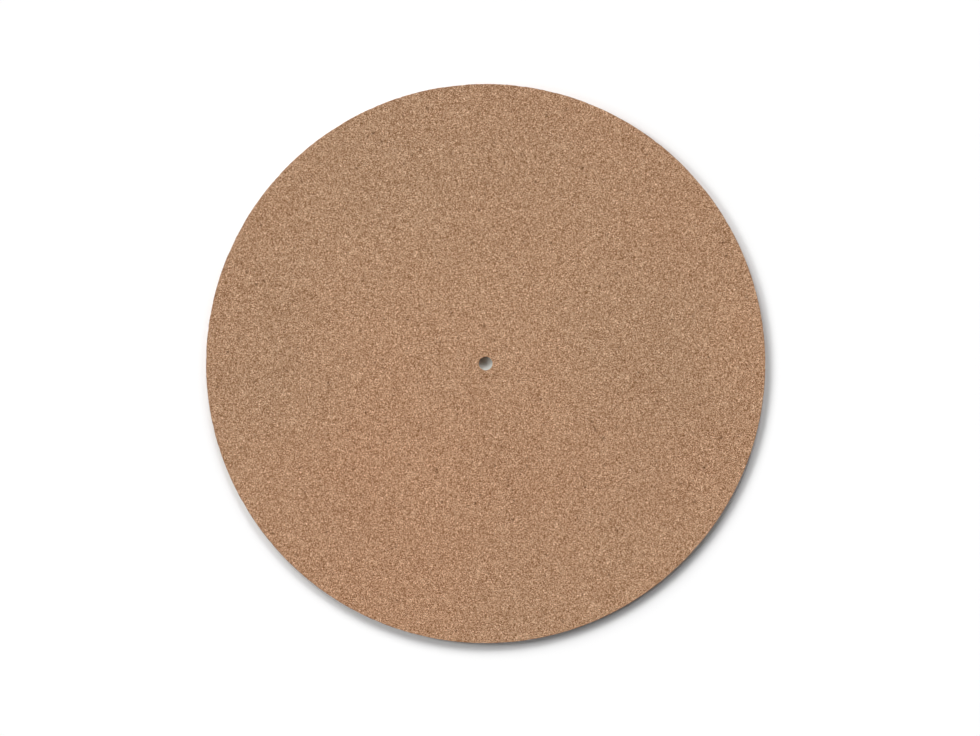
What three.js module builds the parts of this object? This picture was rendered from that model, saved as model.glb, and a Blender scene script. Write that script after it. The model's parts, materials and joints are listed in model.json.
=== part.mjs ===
// Turntable platter mat: one flat round sheet of fine-grain agglomerated cork, cut with a round die and
// punched in the middle for the record player's spindle.
// Millimetres, +Z up. The origin is on the spindle's axis, at the underside that lies on the platter.
import * as THREE from "three";

// Sheet
const matDiameter = 300; // just under a 12-inch record, so it drops inside a platter's lip
const matThickness = 3;
const spindleHoleDiameter = 7.2; // slides over a spindle of 7.1 mm

// Cut edges. The die goes in from above: it rolls the top edges over and leaves the lower ones crisp.
const rimRollRadius = 0.35;
const rimCrispRadius = 0.12;
const holeRollRadius = 0.25;
const holeCrispRadius = 0.12;

// Facets
const stepsRound = 180;
const stepsPerEdge = 4;

const corkColour = "#ae886b";
const corkRoughness = 0.92;

// A top and a lower edge of one cut wall share its height, so neither may pass the middle of the sheet.
function edgeRadius(wanted) {
  return Math.min(wanted, matThickness / 2);
}

// The sheet's section on one side of the axis, x outwards and y upwards, drawn once round against the clock.
function sheetSection() {
  const rim = matDiameter / 2;
  const hole = spindleHoleDiameter / 2;
  const rimRoll = edgeRadius(rimRollRadius);
  const rimCrisp = edgeRadius(rimCrispRadius);
  const holeRoll = edgeRadius(holeRollRadius);
  const holeCrisp = edgeRadius(holeCrispRadius);
  const quarter = Math.PI / 2;

  const section = new THREE.Path();
  section.moveTo(hole + holeCrisp, 0);
  section.absarc(rim - rimCrisp, rimCrisp, rimCrisp, -quarter, 0);
  section.absarc(rim - rimRoll, matThickness - rimRoll, rimRoll, 0, quarter);
  section.absarc(hole + holeRoll, matThickness - holeRoll, holeRoll, quarter, 2 * quarter);
  section.absarc(hole + holeCrisp, holeCrisp, holeCrisp, 2 * quarter, 3 * quarter);
  section.closePath();
  return section.getPoints(stepsPerEdge / 2); // an arc takes twice as many steps as this says
}

function corkSheet() {
  const sheet = new THREE.LatheGeometry(sheetSection(), stepsRound);
  sheet.rotateX(Math.PI / 2); // the lathe turns about Y, and the mat about Z
  return sheet;
}

const cork = new THREE.MeshStandardMaterial({
  name: "cork",
  color: corkColour,
  roughness: corkRoughness,
  metalness: 0,
});

const corkMat = new THREE.Mesh(corkSheet(), cork);
corkMat.name = "cork_mat";

const platterMat = new THREE.Group();
platterMat.name = "turntable_platter_mat";
platterMat.add(corkMat);

export default platterMat;
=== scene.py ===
# A cork platter mat for a record player, seen from straight above on a pale floor.
# Metres, +Z up. The spindle's axis is Z, and the mat's underside lies at Z = 0.
import json
import math
import random

import bmesh
import bpy
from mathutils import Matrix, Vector

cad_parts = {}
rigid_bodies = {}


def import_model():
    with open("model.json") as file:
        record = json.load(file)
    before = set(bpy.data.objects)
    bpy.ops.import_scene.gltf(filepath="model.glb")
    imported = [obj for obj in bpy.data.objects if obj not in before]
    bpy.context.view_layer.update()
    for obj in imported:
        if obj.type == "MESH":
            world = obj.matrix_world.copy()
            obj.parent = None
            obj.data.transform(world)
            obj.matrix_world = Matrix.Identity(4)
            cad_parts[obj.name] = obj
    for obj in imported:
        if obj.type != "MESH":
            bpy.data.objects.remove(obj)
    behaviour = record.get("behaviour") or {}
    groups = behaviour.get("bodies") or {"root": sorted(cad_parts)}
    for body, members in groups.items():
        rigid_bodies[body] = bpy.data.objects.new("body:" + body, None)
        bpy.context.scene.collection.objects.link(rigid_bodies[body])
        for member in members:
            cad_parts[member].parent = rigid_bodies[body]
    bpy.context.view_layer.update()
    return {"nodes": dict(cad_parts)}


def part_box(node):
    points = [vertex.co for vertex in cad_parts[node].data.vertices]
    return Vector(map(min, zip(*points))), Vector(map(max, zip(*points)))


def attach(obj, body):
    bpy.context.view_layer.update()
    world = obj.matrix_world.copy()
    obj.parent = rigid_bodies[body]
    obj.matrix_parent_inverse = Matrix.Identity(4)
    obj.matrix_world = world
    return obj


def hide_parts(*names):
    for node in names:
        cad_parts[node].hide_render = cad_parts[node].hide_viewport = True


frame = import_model()
mm = 0.001

cadNode = frame["nodes"]["cork_mat"]
matLow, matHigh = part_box("cork_mat")
matRadius = matHigh.x
matTop = matHigh.z
holeRadius = min(math.hypot(point.co.x, point.co.y) for point in cadNode.data.vertices)


def linearColour(hexColour):
    # an sRGB hex colour as the linear one that a socket takes
    channels = [int(hexColour[i:i + 2], 16) / 255 for i in (1, 3, 5)]
    return [c / 12.92 if c <= 0.04045 else ((c + 0.055) / 1.055) ** 2.4 for c in channels] + [1]


def addNode(tree, kind, settings, inputs):
    # one node with its settings; each input is given a value, or a socket or node (its first output) to link
    node = tree.nodes.new(kind)
    for name, value in settings.items():
        setattr(node, name, value)
    for name, value in inputs.items():
        if isinstance(value, bpy.types.Node):
            value = value.outputs[0]
        if isinstance(value, bpy.types.NodeSocket):
            tree.links.new(value, node.inputs[name])
        else:
            node.inputs[name].default_value = value
    return node


def newMaterial(name):
    # an empty material and its node tree
    material = bpy.data.materials.new(name)
    material.use_nodes = True
    material.node_tree.nodes.clear()
    return material, material.node_tree


# The photograph's frame, and where the mat lies in it
photo = {
    "width": 980,  # pixels, as the rest
    "height": 736,
    "matAcross": 560.1,
    "matCentre": (485.7, 363.6),  # from the left edge and from the top edge
}
camera = {
    "lens": 85,  # mm
    "sensor": 36,  # mm
}


def placeCamera():
    # straight above, with the mat as large and as far off the middle as in the photograph
    metresPerPixel = 2 * matRadius / photo["matAcross"]
    distance = photo["width"] * metresPerPixel * camera["lens"] / camera["sensor"]
    across = photo["width"] / 2 - photo["matCentre"][0]
    down = photo["height"] / 2 - photo["matCentre"][1]
    bpy.ops.object.camera_add(
        location=(across * metresPerPixel, -down * metresPerPixel, matTop + distance),
        rotation=(0, 0, 0),
    )
    seen = bpy.context.object
    seen.name = "overheadCamera"
    seen.data.lens = camera["lens"]
    seen.data.sensor_width = camera["sensor"]
    bpy.context.scene.camera = seen
    print("camera: %.3f m above the mat" % distance)


# A low row of soft windows to the left behind, as one lamp for each pane, and a dim white room
light = {
    "panes": [
        # degrees from the zenith, from +X against the clock, and across; share of the light on a level face
        {"name": "middlePane", "zenith": 66, "bearing": 123, "across": 25, "share": 0.3},
        {"name": "leftPane", "zenith": 62, "bearing": 161, "across": 18, "share": 0.2075},
        {"name": "rightPane", "zenith": 62, "bearing": 85, "across": 18, "share": 0.2075},
        {"name": "leftEndPane", "zenith": 61, "bearing": 197, "across": 29, "share": 0.1275},
        {"name": "rightEndPane", "zenith": 61, "bearing": 49, "across": 29, "share": 0.1275},
    ],
    "room": 0.03,  # the rest of the light, from all round
}


def placeLight():
    # the shares and the room add up to 1, which lights a level face so that a colour shows as written
    for pane in light["panes"]:
        zenith = math.radians(pane["zenith"])
        bearing = math.radians(pane["bearing"])
        bpy.ops.object.light_add(
            type="SUN",
            location=(math.cos(bearing), math.sin(bearing), 1 / math.tan(zenith)),
            rotation=(0, zenith, bearing),
        )
        lamp = bpy.context.object
        lamp.name = pane["name"]
        lamp.data.angle = math.radians(pane["across"])
        lamp.data.energy = math.pi * pane["share"] / math.cos(zenith)

    # the room is white to the camera and in a shine, and dim as a light
    room = bpy.data.worlds.new("paleRoom")
    bpy.context.scene.world = room
    room.use_nodes = True
    tree = room.node_tree
    tree.nodes.clear()
    path = addNode(tree, "ShaderNodeLightPath", {}, {})
    shown = addNode(tree, "ShaderNodeMath", {"operation": "MAXIMUM"},
                    {0: path.outputs["Is Camera Ray"], 1: path.outputs["Is Glossy Ray"]})
    strength = addNode(tree, "ShaderNodeMapRange", {}, {"Value": shown, "To Min": light["room"], "To Max": 1})
    glow = addNode(tree, "ShaderNodeBackground", {}, {"Color": linearColour("#ffffff"), "Strength": strength})
    addNode(tree, "ShaderNodeOutputWorld", {}, {"Surface": glow})
    print("light: %d panes and the room" % len(light["panes"]))


# The floor, which the camera sees a little over white so that it stays white past the soft shadow
floor = {
    "across": 8,
    "below": 0.02 * mm,  # keeps its face clear of the mat's own underside
    "colour": "#c8c8c8",  # for the light it gives back
    "shownLevel": 1.01,  # for the camera, where 1 is white
    "holeShadeAcross": 9 * mm,  # painted shade under the spindle hole; the mat hides the rest of it
    "holeShade": "#e5f9ff",  # painted shade: pale blue, to the camera a little darker than the floor round it, which the brown light from the hole's wall turns grey
}


def paintFloor():
    # matt white paper: no gloss, so it takes the shadow and nothing else, but for a patch of painted shade
    # under the spindle hole
    material, tree = newMaterial("matt white paper")
    path = addNode(tree, "ShaderNodeLightPath", {}, {})
    level = floor["shownLevel"]
    white = addNode(tree, "ShaderNodeMix", {"data_type": "RGBA"},
                    {"Factor": path.outputs["Is Camera Ray"], 6: linearColour(floor["colour"]),
                     7: (level, level, level, 1)})
    place = addNode(tree, "ShaderNodeTexCoord", {}, {}).outputs["Object"]
    fromAxis = addNode(tree, "ShaderNodeVectorMath", {"operation": "LENGTH"}, {0: place})
    holeShadeMask = addNode(tree, "ShaderNodeMath", {"operation": "LESS_THAN"},
                        {0: fromAxis.outputs["Value"], 1: floor["holeShadeAcross"] / 2})
    # painted shade: the floor under the spindle hole takes the pale blue patch
    colour = addNode(tree, "ShaderNodeMix", {"data_type": "RGBA"},
                     {"Factor": holeShadeMask, 6: white.outputs[2], 7: linearColour(floor["holeShade"])})
    paper = addNode(tree, "ShaderNodeBsdfDiffuse", {}, {"Color": colour.outputs[2]})
    addNode(tree, "ShaderNodeOutputMaterial", {}, {"Surface": paper})
    return material


def layFloor():
    bpy.ops.mesh.primitive_plane_add(size=floor["across"], location=(0, 0, matLow.z - floor["below"]))
    paper = bpy.context.object
    paper.name = "floor"
    paper.data.materials.append(paintFloor())
    print("floor: laid")


# The sheet as it is cut: the die goes in from above, rolls the top edges over and leaves the lower ones crisp
sheet = {
    "rimRoll": 0.35 * mm,
    "holeRoll": 0.15 * mm,
    "crisp": 0.12 * mm,
    "rollSteps": 4,
    "crispSteps": 2,
    "wallRows": 6,
    "wedges": 48,  # the sheet is modelled as one wedge, which is then copied round the axis
    "edgeBand": 0.7 * mm,  # of each face, which is spun with the cut edge beside it
    "holePoints": 96,  # all round the hole, and they double as the rings widen
    "rimPoints": 2304,  # all round the rim, 0.4 mm apart, a third of a crumb's relief
    "topPitch": 1.45 * mm,  # between the points of the upper face
    "undersidePitch": 3 * mm,
    "seamGap": 0.03 * mm,  # rings of unlike counts lie this close where they meet
}


def roundedEdge(middle, radius, fromDegrees, toDegrees, steps):
    # the points of an arc in the sheet's section, given as (distance from the axis, height)
    turns = [math.radians(fromDegrees + (toDegrees - fromDegrees) * i / steps) for i in range(steps + 1)]
    return [(middle[0] + radius * math.cos(turn), middle[1] + radius * math.sin(turn)) for turn in turns]


def cutEdge(edge, outwards, roll):
    # the section of one cut edge, from the upper face down; outwards is 1 at the rim and -1 at the hole
    upper = roundedEdge((edge - outwards * roll, matTop - roll), roll,
                        90, 90 - outwards * 90, sheet["rollSteps"])
    lower = roundedEdge((edge - outwards * sheet["crisp"], sheet["crisp"]), sheet["crisp"],
                        90 - outwards * 90, -90 if outwards > 0 else 270, sheet["crispSteps"])
    drop = upper[-1][1] - lower[0][1]
    wall = [(edge, upper[-1][1] - drop * row / sheet["wallRows"]) for row in range(1, sheet["wallRows"])]
    back = edge - outwards * sheet["edgeBand"]
    return [(back, matTop)] + upper + wall + lower + [(back, matLow.z)]


def spinLine(section, points, cuts=0):
    # draws a line by extruding one point, cuts it, and spins it through one wedge of the sheet
    places = [Vector((across, 0, height)) for across, height in section]
    bpy.ops.mesh.primitive_plane_add(size=mm, location=places[0])
    bpy.ops.mesh.merge(type="CENTER")
    for start, end in zip(places, places[1:]):
        bpy.ops.mesh.extrude_region_move(TRANSFORM_OT_translate={"value": end - start})
    bpy.ops.mesh.select_linked()
    if cuts:
        bpy.ops.mesh.subdivide(number_cuts=cuts)
    bpy.ops.mesh.spin(steps=points // sheet["wedges"], angle=2 * math.pi / sheet["wedges"],
                      center=(0, 0, 0), axis=(0, 0, 1))


def selectPoints(wanted):
    # in edit mode, leaves selected only the points for which wanted(distance from the axis, height) holds
    bpy.ops.mesh.select_all(action="DESELECT")
    data = bpy.context.object.data
    shape = bmesh.from_edit_mesh(data)
    for point in shape.verts:
        if wanted(math.hypot(point.co.x, point.co.y), point.co.z):
            point.select_set(True)
    shape.select_flush_mode()
    bmesh.update_edit_mesh(data)


def splitRing(radius, height, cuts):
    # more points on one ring, for the finer ring that meets it
    near = sheet["seamGap"]
    selectPoints(lambda across, z: abs(across - radius) < near and abs(z - height) < near)
    bpy.ops.mesh.subdivide(number_cuts=cuts)


def layFace(height, pitch):
    # one flat face, in bands from the hole to the rim, each with twice the last one's points round it
    points = sheet["holePoints"]
    inner = holeRadius + sheet["edgeBand"]
    outermost = matRadius - sheet["edgeBand"]
    while inner < outermost:
        outer = min(points * pitch / (2 * math.pi), outermost)
        rows = math.ceil((outer - inner) / pitch)
        spinLine([(inner, height), (outer, height)], points, rows - 1)
        finer = 2 * points if outer < outermost else sheet["rimPoints"]
        splitRing(outer, height, finer // points - 1)
        points = finer
        inner = outer


def cutSheet():
    bpy.ops.object.select_all(action="DESELECT")
    bpy.ops.mesh.primitive_plane_add(size=mm, enter_editmode=True)
    mat = bpy.context.object
    mat.name = "corkSheet"
    bpy.ops.mesh.delete(type="VERT")
    bpy.context.tool_settings.mesh_select_mode = (True, False, False)
    spinLine(cutEdge(holeRadius, -1, sheet["holeRoll"]), sheet["holePoints"])
    layFace(matTop, sheet["topPitch"])
    print("mat: upper face laid")
    layFace(matLow.z, sheet["undersidePitch"])
    spinLine(cutEdge(matRadius, 1, sheet["rimRoll"]), sheet["rimPoints"])
    bpy.ops.mesh.select_all(action="SELECT")
    bpy.ops.mesh.remove_doubles(threshold=sheet["seamGap"])
    copies = sheet["wedges"] - 1
    bpy.ops.mesh.spin(steps=copies, dupli=True, angle=2 * math.pi * copies / sheet["wedges"],
                      center=(0, 0, 0), axis=(0, 0, 1))
    bpy.ops.mesh.select_all(action="SELECT")
    bpy.ops.mesh.remove_doubles(threshold=sheet["seamGap"])
    bpy.ops.mesh.normals_make_consistent(inside=False)
    bpy.ops.object.mode_set(mode="OBJECT")
    print("mat: edges rolled, %d faces" % len(mat.data.polygons))
    return mat


# What cutting and sanding leave on it: crumbs standing along the cut walls, a few torn out of the faces
# and the edges, and faces that are not quite flat. All of it goes inwards from the sheet's own size.
relief = {
    "scatter": 0.25 * mm,  # how far the upper face's points stray, so that no rings show in its relief
    "wallCrumb": 1.2 * mm,
    "wallDepth": 0.22 * mm,
    "tornSpacing": 5 * mm,
    "tornDepth": 0.3 * mm,
    "tornContrast": 5,  # so high that the tears have clear edges
    "tornBrightness": 0.1,  # so low that they are few
    "rollShare": 0.8,  # of a rolled edge's width, which is as rough as its wall
    "holeShare": 0.4,  # of the walls' relief, as the hole is punched cleaner than the rim is cut
    "crispFade": 0.6 * mm,  # the height over which the walls' relief fades out to the crisp lower edge
    "faceCrumb": 2.1 * mm,  # coarser than the real ones, as the face's points are too far apart for those
    "faceDepth": 0.05 * mm,
    "faceFade": 1 * mm,  # the width over which the faces' relief fades out to the cut edges
    "pits": 260,
    "pitWall": 0.25 * mm,
    "pitDepth": 0.2 * mm,
    "pitToRim": 3 * mm,  # at the least
    "sharpPast": 40,  # degrees between two faces, past which the edge between them shows
    "seed": 7,
}


def scatterFace():
    # in edit mode, moves the upper face's points about within the face
    inner = holeRadius + 2 * sheet["topPitch"]
    outer = matRadius - 2 * sheet["topPitch"]
    selectPoints(lambda across, z: z > matTop - relief["faceDepth"] and inner < across < outer)
    bpy.ops.transform.vertex_random(offset=relief["scatter"], uniform=1, normal=0, seed=relief["seed"])
    bpy.ops.transform.resize(value=(1, 1, 0), center_override=(0, 0, matTop))


def newGroup(mat, name, weightOf):
    # a vertex group, weighted by each point's distance from the axis and height
    group = mat.vertex_groups.new(name=name)
    for point in mat.data.vertices:
        weight = weightOf(math.hypot(point.co.x, point.co.y), point.co.z)
        if weight > 0:
            group.add([point.index], weight, "REPLACE")


def press(mat, texture, group, depth, restAt):
    # pushes the group's points inwards, by depth times what the texture falls short of restAt
    modifier = mat.modifiers.new(texture.name, "DISPLACE")
    modifier.texture = texture
    modifier.texture_coords = "LOCAL"
    modifier.direction = "NORMAL"
    modifier.vertex_group = group
    modifier.strength = depth
    modifier.mid_level = restAt
    bpy.ops.object.modifier_apply(modifier=modifier.name)


def crumbTexture(name, size):
    # rounded crumbs: 1 at the middle of each and 0 between them
    texture = bpy.data.textures.new(name, "VORONOI")
    texture.noise_scale = size
    texture.weight_1 = -1
    texture.weight_2 = 1
    texture.noise_intensity = 2
    texture.use_clamp = True
    return texture


def onWall(across, height):
    # full on the rim's wall and rolled edge, and less in the hole; none on the faces
    fade = min(1, height / relief["crispFade"])
    if across > matRadius - relief["rollShare"] * sheet["rimRoll"]:
        return fade
    return relief["holeShare"] * fade if across < holeRadius + relief["rollShare"] * sheet["holeRoll"] else 0


def onFace(across, height):
    # full on the faces, fading out towards the cut edges
    inwards = min(matRadius - across, across - holeRadius) - sheet["edgeBand"]
    return max(0, min(1, inwards / relief["faceFade"] + 0.5))


def roughenSheet(mat):
    random.seed(relief["seed"])
    bpy.context.view_layer.objects.active = mat
    bpy.ops.object.mode_set(mode="EDIT")
    scatterFace()
    bpy.context.tool_settings.mesh_select_mode = (False, False, True)
    bpy.ops.mesh.select_all(action="DESELECT")
    shape = bmesh.from_edit_mesh(mat.data)
    faces = [face for face in shape.faces
             if face.normal.z > 0.9 and len(face.verts) == 4
             and 2 * holeRadius < face.calc_center_median().length < matRadius - relief["pitToRim"]]
    # faces come in another order each run and points don't, so the points' numbers put the faces in order
    shape.verts.index_update()
    faces.sort(key=lambda face: sorted(corner.index for corner in face.verts))
    for face in random.sample(faces, relief["pits"]):
        face.select_set(True)
    bmesh.update_edit_mesh(mat.data)
    bpy.ops.mesh.inset(thickness=relief["pitWall"], depth=-relief["pitDepth"], use_individual=True)
    bpy.ops.object.mode_set(mode="OBJECT")

    newGroup(mat, "wall", onWall)
    newGroup(mat, "face", onFace)
    press(mat, crumbTexture("crumbsOnTheCut", relief["wallCrumb"]), "wall", relief["wallDepth"], 1)
    press(mat, crumbTexture("sandedCrumbs", relief["faceCrumb"]), "face", relief["faceDepth"], 1)
    torn = bpy.data.textures.new("tornCrumbs", "CLOUDS")
    torn.noise_scale = relief["tornSpacing"]
    torn.noise_depth = 1
    torn.contrast = relief["tornContrast"]
    torn.intensity = relief["tornBrightness"]
    torn.use_clamp = True
    press(mat, torn, "wall", -relief["tornDepth"], 0)
    mat.vertex_groups.clear()
    bpy.ops.object.shade_smooth_by_angle(angle=math.radians(relief["sharpPast"]))
    print("mat: roughened, %d faces" % len(mat.data.polygons))


# How the sheet is laid flat for baking: the upper face with both cut walls folded out round it, and the
# underside beside it
flatMap = {
    "upperMiddle": (0.364, 0.364),
    "upperRadius": 0.36,
    "underMiddle": (0.776, 0.776),
    "underRadius": 0.22,
}


def layFlat(mat):
    layer = mat.data.uv_layers.new(name="OFBake")
    foldedRadius = matRadius + matTop
    points = mat.data.vertices
    for face in mat.data.polygons:
        under = face.normal.z < -0.7
        middle = flatMap["underMiddle" if under else "upperMiddle"]
        scale = flatMap["underRadius"] / matRadius if under else flatMap["upperRadius"] / foldedRadius
        for corner, index in zip(face.loop_indices, face.vertices):
            place = points[index].co
            across = math.hypot(place.x, place.y)
            folded = 0 if under else matTop - place.z
            reach = across + folded if across > matRadius / 2 else across - folded
            layer.data[corner].uv = (middle[0] + place.x / across * reach * scale,
                                     middle[1] + place.y / across * reach * scale)
    print("mat: laid flat for baking")


# Agglomerated cork: crumbs of cork oak bark, pressed into a block with a little binder, sliced and sanded.
# To the eye: a dry matt tan, speckled from crumb to crumb, with open pores between them and no shine.
cork = {
    "crumb": 0.36 * mm,  # real ones are 0.5 to 1 mm; these are as fine as the photograph's grain
    "largeCrumb": 0.6 * mm,
    "largeShare": 0.08,  # of the surface
    "wander": 0.17 * mm,  # how far the crumbs' outlines stray from straight
    "fleck": 0.16 * mm,  # cells and dust inside a crumb
    "fleckTone": 0.8,
    "pore": 0.09 * mm,  # the widest gap between crumbs
    "leastPore": 0.01 * mm,  # the narrowest, which hardly shows
    "poreEnds": (0.45, 0.65),  # a noise's values at which the gap is narrowest and widest
    "poreTone": -0.5,
    # most crumbs are near the middle tan, a few are dark bark or pale inner cork
    "tones": ["#744928", "#926745", "#b28565", "#c69b7a", "#dbaf8f", "#f4c8a7", "#ffdebe"],
    "tonesAt": [0, 0.08, 0.28, 0.5, 0.72, 0.92, 1],
    "cloud": 150 * mm,  # the block's mix drifts slowly over the sheet, each drift at its own place in a noise
    "driftEnds": (0.32, 0.68),  # the noise's values at which a drift has its first colour and its last
    "drifts": [
        {"place": 29.9, "from": "#f9ffff", "to": "#fffdfa"},  # olive to pinkish
        {"place": 37.9, "from": "#f7f7f7", "to": "#ffffff"},  # darker to lighter
    ],
    "cutToneAndShade": "#cdc6c0",  # painted shade on the rim's wall and in the pits, together with the darker tone of their open pores
    "rimToneAndShadeSpan": (0.5 * mm, 0.15 * mm),  # how far in from the rim this starts and is full
    "pitShadeSpan": (0.07 * mm, 0.15 * mm),  # how far down in a pit this starts and is full
    "holeUnshadedBand": 0.5 * mm,  # the band round the hole that stays as it is, with its wall
    "roughness": (0.86, 0.97),
    "gloss": 0.15,  # open pores give back little of the shine of a closed skin
    "ior": 1.45,
    "relief": 0.05 * mm,
}


def addCrumbs(tree, place, size):
    # random numbers for each crumb as a colour, and the distance in metres to the nearest gap between crumbs
    cells = addNode(tree, "ShaderNodeTexVoronoi", {"feature": "F1"}, {"Vector": place, "Scale": 1 / size})
    edges = addNode(tree, "ShaderNodeTexVoronoi", {"feature": "DISTANCE_TO_EDGE"},
                    {"Vector": place, "Scale": 1 / size})
    gap = addNode(tree, "ShaderNodeMath", {"operation": "MULTIPLY"}, {0: edges, 1: size})
    return cells.outputs["Color"], gap


def paintCork():
    material, tree = newMaterial("agglomerated cork")
    place = addNode(tree, "ShaderNodeTexCoord", {}, {}).outputs["Object"]

    # crumbs of two sizes with wandering outlines
    stray = addNode(tree, "ShaderNodeTexNoise", {},
                    {"Vector": place, "Scale": 1 / cork["crumb"], "Detail": 3, "Roughness": 0.65})
    centred = addNode(tree, "ShaderNodeVectorMath", {"operation": "SUBTRACT"},
                      {0: stray.outputs["Color"], 1: (0.5, 0.5, 0.5)})
    strayed = addNode(tree, "ShaderNodeVectorMath", {"operation": "MULTIPLY_ADD"},
                      {0: centred, 1: [2 * cork["wander"]] * 3, 2: place})
    small, smallGap = addCrumbs(tree, strayed, cork["crumb"])
    large, largeGap = addCrumbs(tree, strayed, cork["largeCrumb"])
    pick = addNode(tree, "ShaderNodeSeparateColor", {}, {"Color": large})
    isLarge = addNode(tree, "ShaderNodeMath", {"operation": "LESS_THAN"},
                      {0: pick.outputs["Green"], 1: cork["largeShare"]})
    both = addNode(tree, "ShaderNodeMix", {"data_type": "RGBA"}, {"Factor": isLarge, 6: small, 7: large})
    crumb = addNode(tree, "ShaderNodeSeparateColor", {}, {"Color": both.outputs[2]})
    gap = addNode(tree, "ShaderNodeMix", {}, {"Factor": isLarge, 2: smallGap, 3: largeGap})

    # gaps open only where the binder ran thin
    binder = addNode(tree, "ShaderNodeTexNoise", {}, {"Vector": place, "Scale": 1 / cork["largeCrumb"]})
    width = addNode(tree, "ShaderNodeMapRange", {},
                    {"Value": binder, "From Min": cork["poreEnds"][0], "From Max": cork["poreEnds"][1],
                     "To Min": cork["leastPore"], "To Max": cork["pore"]})
    pore = addNode(tree, "ShaderNodeMapRange", {"interpolation_type": "SMOOTHSTEP"},
                   {"Value": gap, "From Max": width, "To Min": 1, "To Max": 0})

    # tone from crumb to crumb, then flecks and pores
    flecks = addNode(tree, "ShaderNodeTexNoise", {},
                     {"Vector": place, "Scale": 1 / cork["fleck"], "Detail": 2, "Roughness": 0.65})
    fleck = addNode(tree, "ShaderNodeMath", {"operation": "SUBTRACT"}, {0: flecks, 1: 0.5})
    flecked = addNode(tree, "ShaderNodeMath", {"operation": "MULTIPLY_ADD"},
                      {0: fleck, 1: cork["fleckTone"], 2: crumb.outputs["Red"]})
    tone = addNode(tree, "ShaderNodeMath", {"operation": "MULTIPLY_ADD", "use_clamp": True},
                   {0: pore, 1: cork["poreTone"], 2: flecked})
    ramp = addNode(tree, "ShaderNodeValToRGB", {}, {"Fac": tone})
    while len(ramp.color_ramp.elements) < len(cork["tones"]):
        ramp.color_ramp.elements.new(0.5)
    for element, at, colour in zip(ramp.color_ramp.elements, cork["tonesAt"], cork["tones"]):
        element.position = at
        element.color = linearColour(colour)

    # slow clouds of tint and of brightness
    tan = ramp.outputs["Color"]
    for drift in cork["drifts"]:
        clouds = addNode(tree, "ShaderNodeTexNoise", {"noise_dimensions": "4D"},
                         {"Vector": place, "W": drift["place"], "Scale": 1 / cork["cloud"], "Detail": 3})
        share = addNode(tree, "ShaderNodeMapRange", {},
                        {"Value": clouds, "From Min": cork["driftEnds"][0], "From Max": cork["driftEnds"][1]})
        tint = addNode(tree, "ShaderNodeMix", {"data_type": "RGBA"},
                       {"Factor": share, 6: linearColour(drift["from"]), 7: linearColour(drift["to"])})
        tan = addNode(tree, "ShaderNodeMix", {"data_type": "RGBA", "blend_type": "MULTIPLY"},
                      {"Factor": 1, 6: tan, 7: tint.outputs[2]}).outputs[2]

    # painted shade together with the darker tone of open pores: darker on the rim's cut wall, and in the
    # pits, which lie between the heights of the two faces
    flat = addNode(tree, "ShaderNodeVectorMath", {"operation": "MULTIPLY"}, {0: place, 1: (1, 1, 0)})
    across = addNode(tree, "ShaderNodeVectorMath", {"operation": "LENGTH"}, {0: flat}).outputs["Value"]
    onRim = addNode(tree, "ShaderNodeMapRange", {},
                    {"Value": across, "From Min": matRadius - cork["rimToneAndShadeSpan"][0],
                     "From Max": matRadius - cork["rimToneAndShadeSpan"][1]})
    height = addNode(tree, "ShaderNodeSeparateXYZ", {}, {"Vector": place})
    fromMiddle = addNode(tree, "ShaderNodeMath", {"operation": "SUBTRACT"},
                         {0: height.outputs["Z"], 1: matTop / 2})
    offMiddle = addNode(tree, "ShaderNodeMath", {"operation": "ABSOLUTE"}, {0: fromMiddle})
    between = addNode(tree, "ShaderNodeMapRange", {},
                      {"Value": offMiddle, "From Min": matTop / 2 - cork["pitShadeSpan"][1],
                       "From Max": matTop / 2 - cork["pitShadeSpan"][0], "To Min": 1, "To Max": 0})
    pastHole = addNode(tree, "ShaderNodeMath", {"operation": "GREATER_THAN"},
                       {0: across, 1: holeRadius + cork["holeUnshadedBand"]})
    inPit = addNode(tree, "ShaderNodeMath", {"operation": "MULTIPLY"}, {0: between, 1: pastHole})
    toneAndShadeMask = addNode(tree, "ShaderNodeMath", {"operation": "MAXIMUM"}, {0: onRim, 1: inPit})
    # painted shade: the tint darkens the rim's wall and the pits
    shade = addNode(tree, "ShaderNodeMix", {"data_type": "RGBA", "blend_type": "MULTIPLY"},
                    {"Factor": toneAndShadeMask, 6: tan, 7: linearColour(cork["cutToneAndShade"])})

    # crumbs stand a little apart in height, with the gaps between them lower
    level = addNode(tree, "ShaderNodeMath", {"operation": "ADD"}, {0: crumb.outputs["Green"], 1: fleck})
    sunken = addNode(tree, "ShaderNodeMath", {"operation": "SUBTRACT"}, {0: level, 1: pore})
    bump = addNode(tree, "ShaderNodeBump", {}, {"Height": sunken, "Strength": 1, "Distance": cork["relief"]})
    dull = addNode(tree, "ShaderNodeMapRange", {},
                   {"Value": crumb.outputs["Blue"],
                    "To Min": cork["roughness"][0], "To Max": cork["roughness"][1]})
    surface = addNode(tree, "ShaderNodeBsdfPrincipled", {},
                      {"Base Color": shade.outputs[2], "Roughness": dull, "IOR": cork["ior"],
                       "Specular IOR Level": cork["gloss"], "Normal": bump})
    addNode(tree, "ShaderNodeOutputMaterial", {}, {"Surface": surface})
    return material


placeCamera()
placeLight()
layFloor()
corkMat = cutSheet()
roughenSheet(corkMat)
layFlat(corkMat)
corkMat.data.materials.append(paintCork())
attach(corkMat, "root")
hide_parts("cork_mat")
print("mat: painted and set on its body")

bpy.context.scene.view_settings.view_transform = "Standard"
